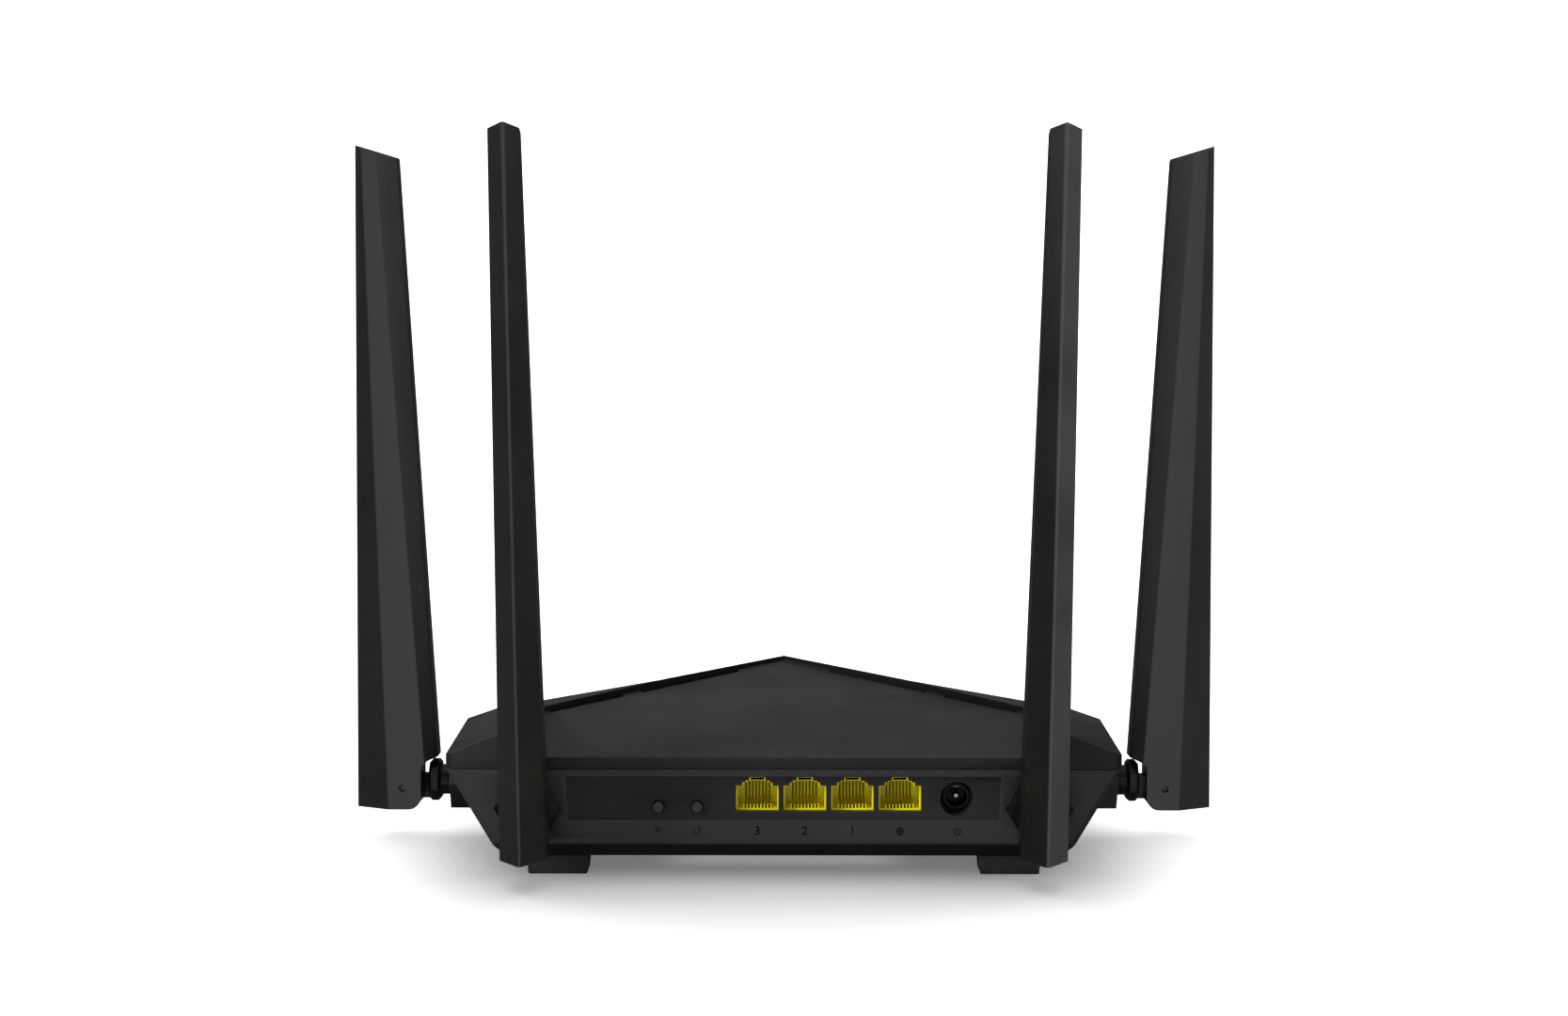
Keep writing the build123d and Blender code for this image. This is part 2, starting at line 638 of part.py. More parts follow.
# ---------------------------------------------------------------- antennas
# drawn with the swivel axis along +X from the seat at the origin, blade up, thickness along Y
def make_swivel(inner_length):
    """Hollow shaft, eight-sided flange and hinge tongue."""
    shaft = rod((-inner_length, 0, 0), (1, 0, 0), SHAFT_R, inner_length + 3.4)
    flange_plane = Plane(origin=(3.3, 0, 0), x_dir=(0, 1, 0), z_dir=(1, 0, 0))
    octagon = Rot(0, 0, 22.5) * RegularPolygon(FLANGE_R, 8, major_radius=False)
    flange = extrude(flange_plane * octagon, 3.9)
    flange = chamfer(flange.faces().sort_by(Axis.X)[0].edges(), 0.9)
    flange = chamfer(flange.faces().sort_by(Axis.X)[-1].edges(), 0.9)
    half = TONGUE_THICK / 2
    tongue = box(6.9, PIN_OUT, -half, half, -PIN_DROP - TONGUE_HALF, -PIN_DROP + TONGUE_HALF)
    tongue += rod((PIN_OUT, -TONGUE_THICK / 2, -PIN_DROP), (0, 1, 0), TONGUE_HALF, TONGUE_THICK)
    body = shaft + flange + tongue
    body -= rod((-inner_length - 1, 0, 0), (1, 0, 0), CABLE_BORE_R, inner_length + 5)
    body -= rod((-1, 0, -1.0), (1, 0, 0), 1.0, PIN_OUT - PIN_R - 1.0)
    body -= rod((PIN_OUT, -4, -PIN_DROP), (0, 1, 0), PIN_R + 0.05, 8)
    groove = rod((-inner_length + 1.6, 0, 0), (1, 0, 0), SHAFT_R + 1, 1.3)
    groove -= rod((-inner_length + 1.6, 0, 0), (1, 0, 0), SHAFT_R - 0.7, 1.3)
    return body - groove


def make_clip(inner_length):
    """Snap ring in the shaft's groove, open on one side."""
    x = -inner_length + 1.65
    ring = rod((x, 0, 0), (1, 0, 0), SHAFT_R + 1.7, 1.2) - rod((x, 0, 0), (1, 0, 0), SHAFT_R - 0.65, 1.2)
    return ring - box(x - 1, x + 2, -2.4, 2.4, 0, 10)


def blade_section(u, inset):
    """Six-sided section at height u along the blade: ridge outward, narrow edge inward."""
    ridge = 15.4 - 0.0038 * (u - BLADE_LOW)
    shoulder = 9.8 - 0.0394 * (u - 17)
    waist = 21.7 - 0.0777 * (u - 17)
    edge = 26.1 - 0.0634 * (u - 17)
    half = 6.2 - 0.01 * (u - 17)
    thin = half - 2.0
    tip = 0.55
    if inset:
        half -= inset
        thin -= inset
        shoulder += inset * 0.3
        ridge_in = 2.2 + inset * half / shoulder
        return [
            (ridge - ridge_in - 1.0, 0.8),
            (ridge - shoulder - 0.6, half),
            (ridge - waist, half),
            (ridge - edge + inset, thin),
        ]
    return [(ridge, tip), (ridge - shoulder, half), (ridge - waist, half), (ridge - edge, thin)]


def blade_solid(u0, u1, inset):
    """Tapered bar through two sections, in pin-centred coordinates."""
    faces = []
    for u in (u0, u1):
        side = blade_section(u, inset)
        points = [(w, t, u) for w, t in side] + [(w, -t, u) for w, t in reversed(side)]
        faces.append(make_face(Polyline(*points, close=True)))
    return loft(faces, ruled=True)


def blade_profile():
    """Side view of the blade: rounded ear, hinge cut-out and sloping foot."""
    edge = Polyline(
        (-5.8, -3.0),
        (-5.8, 6.9),
        (-7.9, 8.6),
        (-11.8, 10.2),
        (-13.5, 12.5),
        (-13.5, 215.0),
        (20.0, 215.0),
        (20.0, -5.2),
        (15.4, -5.7),
        (4.1, BLADE_LOW),
        (-1.8, BLADE_LOW),
    )
    ear = RadiusArc((-1.8, BLADE_LOW), (-5.8, -3.0), 4.0)
    face = Plane.XZ * make_face(edge + ear)
    return extrude(face, 12, both=True)


def make_blade():
    """Whole blade before it is divided into its two mouldings."""
    blade = blade_solid(BLADE_LOW, BLADE_TOP + 4, 0) & blade_profile()
    for t in (1, -1):
        top = Plane(origin=(14.6, 0, BLADE_TOP), z_dir=(-0.30, t * 0.22, 1))
        blade = split(blade, bisect_by=top, keep=Keep.BOTTOM)
    blade -= blade_solid(24, 196, BLADE_WALL)
    blade -= box(-14, 4.5, -CLEVIS_GAP / 2, CLEVIS_GAP / 2, -9, 4.5)
    blade -= rod((0, -8, 0), (0, 1, 0), PIN_R, 16)
    blade -= box(0.6, 2.6, -0.9, 0.9, 3, 30)
    return Pos(PIN_OUT, 0, -PIN_DROP) * blade


def make_hinge_pin():
    reach = 5.9
    return rod((PIN_OUT, -reach, -PIN_DROP), (0, 1, 0), PIN_R, 2 * reach)


def make_radiator():
    """Printed dipole strip inside the blade."""
    strip = box(2.6, 8.6, -0.5, 0.5, 32, 188)
    for z in (70, 118):
        strip -= box(4.2, 7.0, -1, 1, z, z + 34)
    return Pos(PIN_OUT, 0, -PIN_DROP) * strip


def placed(shape, name, seat, out):
    """Turn a part from its drawing position onto its seat; the rear pair is splayed outward."""
    turn = math.degrees(math.atan2(out[1], out[0]))
    lean = 0.0
    if name.startswith("rear"):
        lean = REAR_LEAN_DEG if seat[0] > 0 else -REAR_LEAN_DEG
    return Pos(*seat) * Rot(0, lean, 0) * Rot(0, 0, turn) * shape


def make_antennas():
    blade = make_blade()
    middle = Plane.XZ
    halves = {
        "antenna_shell_": split(blade, bisect_by=middle, keep=Keep.TOP),
        "antenna_cover_": split(blade, bisect_by=middle, keep=Keep.BOTTOM),
    }
    pin = make_hinge_pin()
    strip = make_radiator()
    for name, seat, out in swivel_seats():
        inner = REAR_SHAFT if name.startswith("rear") else SIDE_SHAFT
        save(placed(make_swivel(inner), name, seat, out), "swivel_" + name)
        save(placed(make_clip(inner), name, seat, out), "swivel_clip_" + name)
        save(placed(pin, name, seat, out), "hinge_pin_" + name)
        save(placed(strip, name, seat, out), "radiator_" + name)
        for prefix, half in halves.items():
            save(placed(half, name, seat, out), prefix + name)
        save(make_lead(name, seat, out), "antenna_lead_" + name)


# ---------------------------------------------------------------- write every node
def main():
    fixed = {
        "top_cover": make_top_cover(),
        "lower_housing": make_lower_housing(),
        "rubber_feet": make_feet(),
        "case_screws": make_case_screws(),
        "board_screws": make_board_screws(),
        "main_board": make_board(),
        "rating_label": make_label(),
        "lan_socket_block": make_socket_block(),
        "lan_contacts": make_socket_contacts(),
        "power_socket": make_power_socket(),
        "power_contacts": make_power_contacts(),
        "push_switches": make_switches(),
        "processor": make_processor(),
        "thermal_pad": make_thermal_pad(),
        "heat_sink": make_heat_sink(),
        "memory_chips": make_memory(),
        "radio_chips": make_radio_chips(),
        "radio_shields": make_radio_shields(),
        "line_transformers": make_transformers(),
        "capacitors": make_capacitors(),
        "inductors": make_inductors(),
        "crystal": make_crystal(),
        "status_lights": make_status_lights(),
        "light_guide": make_light_guide(),
        "lead_plugs": make_lead_plugs(),
    }
    for name, shape in fixed.items():
        save(shape, name)
    for name, x in BUTTON_X.items():
        save(make_button(x), name)
    make_antennas()


main()
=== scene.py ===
"""Studio scene of the desktop router: finishes, small printed and moulded detail, light and camera."""
import bpy
import bmesh
import math
from mathutils import Matrix, Vector


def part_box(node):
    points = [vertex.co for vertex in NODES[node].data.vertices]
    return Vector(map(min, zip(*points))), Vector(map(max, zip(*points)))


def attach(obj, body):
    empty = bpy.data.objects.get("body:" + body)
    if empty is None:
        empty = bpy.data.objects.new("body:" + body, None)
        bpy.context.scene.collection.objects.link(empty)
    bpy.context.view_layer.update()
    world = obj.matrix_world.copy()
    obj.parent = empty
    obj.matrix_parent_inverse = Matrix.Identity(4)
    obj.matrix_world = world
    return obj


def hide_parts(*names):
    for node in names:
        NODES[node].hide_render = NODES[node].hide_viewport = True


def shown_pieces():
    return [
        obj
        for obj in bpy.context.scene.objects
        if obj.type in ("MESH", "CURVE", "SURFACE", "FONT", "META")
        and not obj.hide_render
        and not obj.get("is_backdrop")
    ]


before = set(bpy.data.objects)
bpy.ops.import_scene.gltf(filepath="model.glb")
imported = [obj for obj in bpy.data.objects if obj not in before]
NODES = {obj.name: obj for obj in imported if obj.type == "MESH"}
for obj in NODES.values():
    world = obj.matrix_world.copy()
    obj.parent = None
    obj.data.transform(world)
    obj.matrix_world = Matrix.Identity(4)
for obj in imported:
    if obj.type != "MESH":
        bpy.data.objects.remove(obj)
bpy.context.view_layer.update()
MM = 0.001

# ---------------------------------------------------------------- places taken from the frame
REAR_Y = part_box("top_cover")[1].y
RECESS_Y = REAR_Y - 1.2 * MM
RECESS_LOW = 17 * MM
CLOSE = 0.1 * MM
GROUND_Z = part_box("rubber_feet")[0].z


# ---------------------------------------------------------------- node helpers
def new_material(name):
    """Empty Principled material; returns the material, its node tree and its shader."""
    material = bpy.data.materials.new(name)
    material.use_nodes = True
    tree = material.node_tree
    tree.nodes.clear()
    output = tree.nodes.new("ShaderNodeOutputMaterial")
    shader = tree.nodes.new("ShaderNodeBsdfPrincipled")
    tree.links.new(shader.outputs["BSDF"], output.inputs["Surface"])
    return material, tree, shader


def object_coords(tree):
    coords = tree.nodes.new("ShaderNodeTexCoord")
    return coords.outputs["Object"]


def noise(tree, vector, scale, detail=3.0, roughness=0.5):
    node = tree.nodes.new("ShaderNodeTexNoise")
    node.inputs["Scale"].default_value = scale
    node.inputs["Detail"].default_value = detail
    node.inputs["Roughness"].default_value = roughness
    tree.links.new(vector, node.inputs["Vector"])
    return node.outputs["Fac"]


def rgba(value):
    """A colour or a grey as the four numbers of a socket."""
    return (*value, 1.0) if isinstance(value, tuple) else (value, value, value, 1.0)


def ramp(tree, factor, low, high, low_at=0.0, high_at=1.0):
    node = tree.nodes.new("ShaderNodeValToRGB")
    first, last = node.color_ramp.elements
    first.position = low_at
    last.position = high_at
    first.color = rgba(low)
    last.color = rgba(high)
    tree.links.new(factor, node.inputs["Fac"])
    return node.outputs["Color"]


def mix(tree, factor, a, b, blend="MIX"):
    node = tree.nodes.new("ShaderNodeMix")
    node.data_type = "RGBA"
    node.blend_type = blend
    if isinstance(factor, float):
        node.inputs["Factor"].default_value = factor
    else:
        tree.links.new(factor, node.inputs["Factor"])
    for value, socket in ((a, node.inputs[6]), (b, node.inputs[7])):
        if isinstance(value, tuple):
            socket.default_value = rgba(value)
        else:
            tree.links.new(value, socket)
    return node.outputs[2]


def bump(tree, height, strength, distance, normal=None):
    node = tree.nodes.new("ShaderNodeBump")
    node.inputs["Strength"].default_value = strength
    node.inputs["Distance"].default_value = distance
    tree.links.new(height, node.inputs["Height"])
    if normal is not None:
        tree.links.new(normal, node.inputs["Normal"])
    return node.outputs["Normal"]


# radius of the rounded normal that finds the edges lightened as wear and as painted highlight
WEAR_AND_HIGHLIGHT_RADIUS = 0.4 * MM
FLAT_COSINE = 0.985       # cosine between the true and the rounded normal on a flat face
EDGE_COSINE = 0.86        # and at an edge


def edge_wear_and_highlight(tree):
    """0 on flat faces, 1 on exposed edges, from the angle between the true and a rounded normal; the edges
    it finds are lightened in colour, part wear and part painted highlight.
    """
    rounded = tree.nodes.new("ShaderNodeBevel")
    rounded.samples = 4
    rounded.inputs["Radius"].default_value = WEAR_AND_HIGHLIGHT_RADIUS
    geometry = tree.nodes.new("ShaderNodeNewGeometry")
    dot = tree.nodes.new("ShaderNodeVectorMath")
    dot.operation = "DOT_PRODUCT"
    tree.links.new(rounded.outputs["Normal"], dot.inputs[0])
    tree.links.new(geometry.outputs["Normal"], dot.inputs[1])
    span = tree.nodes.new("ShaderNodeMapRange")
    span.inputs["From Min"].default_value = FLAT_COSINE
    span.inputs["From Max"].default_value = EDGE_COSINE
    tree.links.new(dot.outputs["Value"], span.inputs["Value"])
    return span.outputs["Result"]


# ---------------------------------------------------------------- finishes
def moulded_plastic(name, colour, rough, grain_mm, depth_mm, specular=0.5, wear_and_highlight=0.7):
    """Spark-textured moulding: fine grain, faint cloudiness, edges lightened in colour, part wear and part
    painted highlight.
    """
    material, tree, shader = new_material(name)
    where = object_coords(tree)
    cloud = noise(tree, where, 45.0, 4.0)
    grain = noise(tree, where, 1000.0 / grain_mm, 2.0, 0.6)
    pits = noise(tree, where, 420.0 / grain_mm, 3.0, 0.7)
    dark = tuple(c * 0.86 for c in colour)
    light = tuple(c * 1.14 + 0.001 for c in colour)
    base = ramp(tree, cloud, dark, light, 0.3, 0.7)
    speck = ramp(tree, grain, 0.88, 1.12, 0.35, 0.65)
    base = mix(tree, 1.0, base, speck, "MULTIPLY")
    edges = edge_wear_and_highlight(tree)
    # edges take a lighter colour, part wear and part painted highlight
    worn_and_highlight_colour = tuple(min(1.0, c * 2.2 + 0.03) for c in colour)
    base = mix(tree, ramp(tree, edges, 0.0, wear_and_highlight), base, worn_and_highlight_colour)
    tree.links.new(base, shader.inputs["Base Color"])
    roughness = ramp(tree, cloud, rough - 0.03, rough + 0.04, 0.3, 0.7)
    tree.links.new(roughness, shader.inputs["Roughness"])
    shader.inputs["Specular IOR Level"].default_value = specular
    fine = bump(tree, grain, 0.55, depth_mm * MM)
    coarse = bump(tree, pits, 0.35, depth_mm * MM * 1.6, fine)
    tree.links.new(coarse, shader.inputs["Normal"])
    return material


def plain_metal(name, colour, rough, streak=0.0):
    """Plated or drawn metal with fine directional variation."""
    material, tree, shader = new_material(name)
    where = object_coords(tree)
    stretch = tree.nodes.new("ShaderNodeMapping")
    stretch.inputs["Scale"].default_value = (1.0, 1.0, 1.0 + 20.0 * streak)
    tree.links.new(where, stretch.inputs["Vector"])
    lines = noise(tree, stretch.outputs["Vector"], 1800.0, 3.0)
    cloud = noise(tree, where, 140.0, 3.0)
    base = ramp(tree, cloud, tuple(c * 0.85 for c in colour), colour, 0.35, 0.65)
    tree.links.new(base, shader.inputs["Base Color"])
    tree.links.new(ramp(tree, lines, rough - 0.06, rough + 0.08, 0.3, 0.7), shader.inputs["Roughness"])
    shader.inputs["Metallic"].default_value = 1.0
    tree.links.new(bump(tree, lines, 0.25, 0.01 * MM), shader.inputs["Normal"])
    return material


def circuit_board(name):
    """Green solder mask over copper: raised tracks along both axes, plated dots between them."""
    material, tree, shader = new_material(name)
    where = object_coords(tree)
    bricks = tree.nodes.new("ShaderNodeTexBrick")
    bricks.inputs["Scale"].default_value = 160.0
    bricks.inputs["Mortar Size"].default_value = 0.012
    bricks.inputs["Mortar Smooth"].default_value = 0.1
    bricks.inputs["Color1"].default_value = (0.012, 0.09, 0.035, 1)
    bricks.inputs["Color2"].default_value = (0.016, 0.12, 0.045, 1)
    bricks.inputs["Mortar"].default_value = (0.03, 0.2, 0.08, 1)
    tree.links.new(where, bricks.inputs["Vector"])
    cells = tree.nodes.new("ShaderNodeTexVoronoi")
    cells.inputs["Scale"].default_value = 420.0
    tree.links.new(where, cells.inputs["Vector"])
    dots = ramp(tree, cells.outputs["Distance"], 1.0, 0.0, 0.10, 0.14)
    base = mix(tree, dots, bricks.outputs["Color"], (0.62, 0.48, 0.2))
    tree.links.new(base, shader.inputs["Base Color"])
    shader.inputs["Roughness"].default_value = 0.35
    tree.links.new(bump(tree, bricks.outputs["Fac"], 0.4, 0.03 * MM), shader.inputs["Normal"])
    return material


def translucent_guide(name):
    """Frosted light-guide plastic."""
    material, tree, shader = new_material(name)
    where = object_coords(tree)
    haze = noise(tree, where, 900.0, 3.0)
    tree.links.new(ramp(tree, haze, (0.62, 0.65, 0.68), (0.72, 0.75, 0.78)), shader.inputs["Base Color"])
    tree.links.new(ramp(tree, haze, 0.25, 0.4), shader.inputs["Roughness"])
    shader.inputs["Transmission Weight"].default_value = 0.35
    tree.links.new(bump(tree, haze, 0.3, 0.02 * MM), shader.inputs["Normal"])
    return material


def paper_label(name):
    """Satin film with a faint fibre."""
    material, tree, shader = new_material(name)
    where = object_coords(tree)
    fibre = noise(tree, where, 2600.0, 4.0)
    tree.links.new(ramp(tree, fibre, 0.60, 0.68), shader.inputs["Base Color"])
    tree.links.new(ramp(tree, fibre, 0.42, 0.55), shader.inputs["Roughness"])
    tree.links.new(bump(tree, fibre, 0.3, 0.01 * MM), shader.inputs["Normal"])
    return material


GLOW_START = 0.09         # distance from the middle where the floor's glow starts to rise out of the painted shadow
GLOW_END = 0.25
GLOW_SQUEEZE = 1.3        # the glow rises sooner to the sides, so the painted shadow is narrower there


def glowing_floor_with_painted_shadow(name, value, shadow_glow, far_glow):
    """Pale matt floor that glows: faintly near the object, which paints its shadow, and fully far from it.
    """
    material, tree, shader = new_material(name)
    where = object_coords(tree)
    haze = noise(tree, where, 3.0, 2.0)
    tree.links.new(ramp(tree, haze, value - 0.005, value), shader.inputs["Base Color"])
    shader.inputs["Roughness"].default_value = 0.9
    shader.inputs["Specular IOR Level"].default_value = 0.1
    shader.inputs["Emission Color"].default_value = (1, 1, 1, 1)
    squeeze = tree.nodes.new("ShaderNodeMapping")
    squeeze.inputs["Scale"].default_value = (GLOW_SQUEEZE, 1.0, 1.0)
    tree.links.new(where, squeeze.inputs["Vector"])
    reach = tree.nodes.new("ShaderNodeVectorMath")
    reach.operation = "LENGTH"
    tree.links.new(squeeze.outputs["Vector"], reach.inputs[0])
    near_to_far = tree.nodes.new("ShaderNodeMapRange")
    near_to_far.interpolation_type = "SMOOTHSTEP"
    near_to_far.inputs["From Min"].default_value = GLOW_START
    near_to_far.inputs["From Max"].default_value = GLOW_END
    near_to_far.inputs["To Min"].default_value = shadow_glow
    near_to_far.inputs["To Max"].default_value = far_glow
    tree.links.new(reach.outputs["Value"], near_to_far.inputs["Value"])
    tree.links.new(near_to_far.outputs["Result"], shader.inputs["Emission Strength"])
    return material


# the last number of a moulding lightens its edges, part wear and part painted highlight; the antenna's is
# strongest
FINISH = {
    "cover": moulded_plastic("cover_plastic", (0.0165, 0.0165, 0.0169), 0.40, 0.30, 0.012, 0.45),
    "housing": moulded_plastic("housing_plastic", (0.0140, 0.0140, 0.0144), 0.42, 0.34, 0.016, 0.5),
    # painted shade: slightly darker, less glossy plastic for the recess floor and the cover's rear lip
    "mild_painted_shade": moulded_plastic("mild_painted_shade_plastic", (0.0135, 0.0135, 0.0138), 0.44, 0.34, 0.014, 0.24),
    # painted shade: much darker plastic for downward faces and the cover's walls that face back at a slant
    "deep_painted_shade": moulded_plastic("deep_painted_shade_plastic", (0.007, 0.007, 0.0072), 0.55, 0.34, 0.016, 0.2),
    "antenna": moulded_plastic("antenna_plastic", (0.0100, 0.0100, 0.0103), 0.36, 0.26, 0.012, 1.0),
    "swivel": moulded_plastic("swivel_plastic", (0.004, 0.004, 0.0042), 0.24, 0.26, 0.008, 0.35),
    # near-black plastic for painted shadow in the seam and in the socket latch notches
    "painted_shadow_black": moulded_plastic("painted_shadow_black_plastic", (0.001, 0.001, 0.001), 0.8, 0.3, 0.006, 0.02, 0.0),
    # darker yellow for painted shade at the back of the sockets and behind their teeth
    "painted_shade_yellow": moulded_plastic("painted_shade_yellow_plastic", (0.20, 0.165, 0.002), 0.6, 0.3, 0.006, 0.1, 0.0),
    "button": moulded_plastic("button_plastic", (0.017, 0.017, 0.018), 0.34, 0.22, 0.008, 0.5),
    "inlet": moulded_plastic("inlet_plastic", (0.004, 0.004, 0.0042), 0.30, 0.22, 0.006, 0.2),
    "rubber": moulded_plastic("foot_rubber", (0.021, 0.021, 0.021), 0.75, 0.55, 0.040, 0.3, 0.1),
    "yellow": moulded_plastic("socket_plastic", (0.78, 0.69, 0.004), 0.36, 0.25, 0.008, 0.2, 0.15),
    "chip": moulded_plastic("chip_epoxy", (0.02, 0.02, 0.02), 0.5, 0.2, 0.010, 0.4, 0.2),
    "pad": moulded_plastic("thermal_pad_grey", (0.2, 0.22, 0.25), 0.8, 0.5, 0.020, 0.3, 0.1),
    "jacket": moulded_plastic("lead_jacket_black", (0.02, 0.02, 0.02), 0.45, 0.3, 0.010, 0.4, 0.1),
    "radiator": moulded_plastic("radiator_board", (0.04, 0.13, 0.06), 0.4, 0.3, 0.010, 0.4, 0.2),
    "gold": plain_metal("contact_gold", (0.83, 0.62, 0.28), 0.28, 0.5),
    "steel": plain_metal("screw_steel", (0.62, 0.62, 0.63), 0.26, 0.3),
    "tin": plain_metal("shield_tin", (0.62, 0.62, 0.6), 0.38, 0.8),
    "sink": plain_metal("sink_aluminium", (0.42, 0.43, 0.45), 0.45, 1.0),
    "board": circuit_board("solder_mask"),
    "guide": translucent_guide("guide_clear"),
    "label": paper_label("label_film"),
    "mark": moulded_plastic("panel_mark", (0.003, 0.003, 0.003), 0.6, 0.3, 0.006, 0.12, 0.0),
}

NODE_FINISH = {
    "top_cover": "cover",
    "lower_housing": "housing",
    "rubber_feet": "rubber",
    "thermal_pad": "pad",
    "case_screws": "steel",
    "board_screws": "steel",
    "power_contacts": "steel",
    "radio_shields": "tin",
    "crystal": "tin",
    "main_board": "board",
    "rating_label": "label",
    "lan_socket_block": "yellow",
    "lan_contacts": "gold",
    "lead_plugs": "gold",
    "heat_sink": "sink",
    "light_guide": "guide",
    "status_lights": "guide",
    "wireless_button": "button",
    "reset_button": "button",
    "power_socket": "inlet",
}
PREFIX_FINISH = [
    ("antenna_lead", "jacket"),
    ("antenna_", "antenna"),
    ("swivel_clip", "steel"),
    ("swivel_", "swivel"),
    ("hinge_pin", "antenna"),
    ("radiator_", "radiator"),
]


def finish_of(node):
    if node in NODE_FINISH:
        return NODE_FINISH[node]
    for prefix, finish in PREFIX_FINISH:
        if node.startswith(prefix):
            return finish
    return "chip"


# ---------------------------------------------------------------- edges of the mouldings
BEVEL_MM = {"top_cover": 0.22, "lower_housing": 0.2, "rubber_feet": 0.3}
SMALL_BEVEL_MM = 0.08
PREFIX_BEVEL_MM = [("swivel_rear", 0.2), ("swivel_side", 0.2)]


def bevel_of(node):
    for prefix, width in PREFIX_BEVEL_MM:
        if node.startswith(prefix):
            return width
    return BEVEL_MM.get(node, SMALL_BEVEL_MM)


def add_edge(piece, width_mm, angle):
    """Small moulded radius along the sharp edges."""
    edge = piece.modifiers.new("edge", "BEVEL")
    edge.width = width_mm * MM
    edge.segments = 2
    edge.limit_method = "ANGLE"
    edge.angle_limit = math.radians(angle)
    edge.use_clamp_overlap = True
    edge.harden_normals = True


def dress_node(name, node):
    """Material, merged flat faces and small moulded radii on one node."""
    node.data.materials.clear()
    node.data.materials.append(FINISH[finish_of(name)])
    weld = node.modifiers.new("weld", "WELD")
    weld.merge_threshold = 0.002 * MM
    flat = node.modifiers.new("flat", "DECIMATE")
    flat.decimate_type = "DISSOLVE"
    flat.angle_limit = math.radians(0.6)
    add_edge(node, bevel_of(name), 16)
    for polygon in node.data.polygons:
        polygon.use_smooth = True


def second_finish(node, finish, test):
    """Give the faces that pass a test of their centre and normal another finish."""
    node.data.materials.append(FINISH[finish])
    slot = len(node.data.materials) - 1
    for polygon in node.data.polygons:
        if test(polygon.center, polygon.normal):
            polygon.material_index = slot


for node_name, node_object in NODES.items():
    dress_node(node_name, node_object)
housing = NODES["lower_housing"]
# painted shade on the recess floor and the cover's rear lip; much darker painted shade on downward faces and
# on the cover's walls that face back at a slant
second_finish(housing, "mild_painted_shade", lambda c, n: n.y > 0.9 and abs(c.y - RECESS_Y) < CLOSE and c.z > RECESS_LOW)
second_finish(housing, "deep_painted_shade", lambda c, n: n.z < -0.5)
second_finish(NODES["top_cover"], "mild_painted_shade", lambda c, n: n.y > 0.9 and c.y > REAR_Y - CLOSE)
second_finish(NODES["top_cover"], "deep_painted_shade", lambda c, n: 0.5 < n.y < 0.95 and abs(n.z) < 0.1)


# ---------------------------------------------------------------- antenna blades
# drawn around the hinge pin: w outward from the swivel's seat, t across, u up the blade
PIN_OUT = 15.4
PIN_DROP = 1.9
PIN_HOLE_R = 1.25
BLADE_TOP = 206.4
BLADE_START = -9.0
BLADE_ROWS = 30
SLOT_HALF = 2.75
REAR_LEAN = 1.05
ANTENNAS = {
    "rear_right": ((76.3, 54.1, 17.5), REAR_LEAN, 90),
    "rear_left": ((-76.3, 54.1, 17.5), -REAR_LEAN, 90),
    "side_right": ((107.5, -16.9, 17.5), 0, 0),
    "side_left": ((-107.5, -16.9, 17.5), 0, 180),
}


def blade_corners(u):
    """Half section at height u: ridge, shoulder, waist and inner edge, each with its own even taper."""
    ridge = 15.4 - 0.0038 * (u + 7)
    shoulder = 9.8 - 0.0394 * (u - 17)
    waist = 21.7 - 0.0777 * (u - 17)
    edge = 26.1 - 0.0634 * (u - 17)
    half = 6.6 - 0.0105 * (u - 17)
    return [(ridge, 0.5), (ridge - shoulder, half), (ridge - waist, half), (ridge - edge, half - 2.0)]


def softened(before, corner, after, cut, steps=4):
    """Corner replaced by a small curve that starts and ends a cut length away from it."""
    corner, before, after = Vector(corner), Vector(before), Vector(after)
    start = corner + (before - corner).normalized() * min(cut, (before - corner).length * 0.45)
    end = corner + (after - corner).normalized() * min(cut, (after - corner).length * 0.45)
    points = []
    for i in range(steps + 1):
        k = i / steps
        points.append(start * (1 - k) ** 2 + corner * (2 * k * (1 - k)) + end * k ** 2)
    return points


def half_section(u):
    corners = blade_corners(u)
    mirror = [(w, -t) for w, t in corners]
    ring = [mirror[0]] + corners + [mirror[3]]
    points = []
    for i, cut in enumerate((0.5, 0.35, 0.35, 0.6)):
        points += softened(ring[i], ring[i + 1], ring[i + 2], cut)
    return points


def top_height(w, t):
    return BLADE_TOP + 0.30 * (w - 14.6) - 0.22 * abs(t)


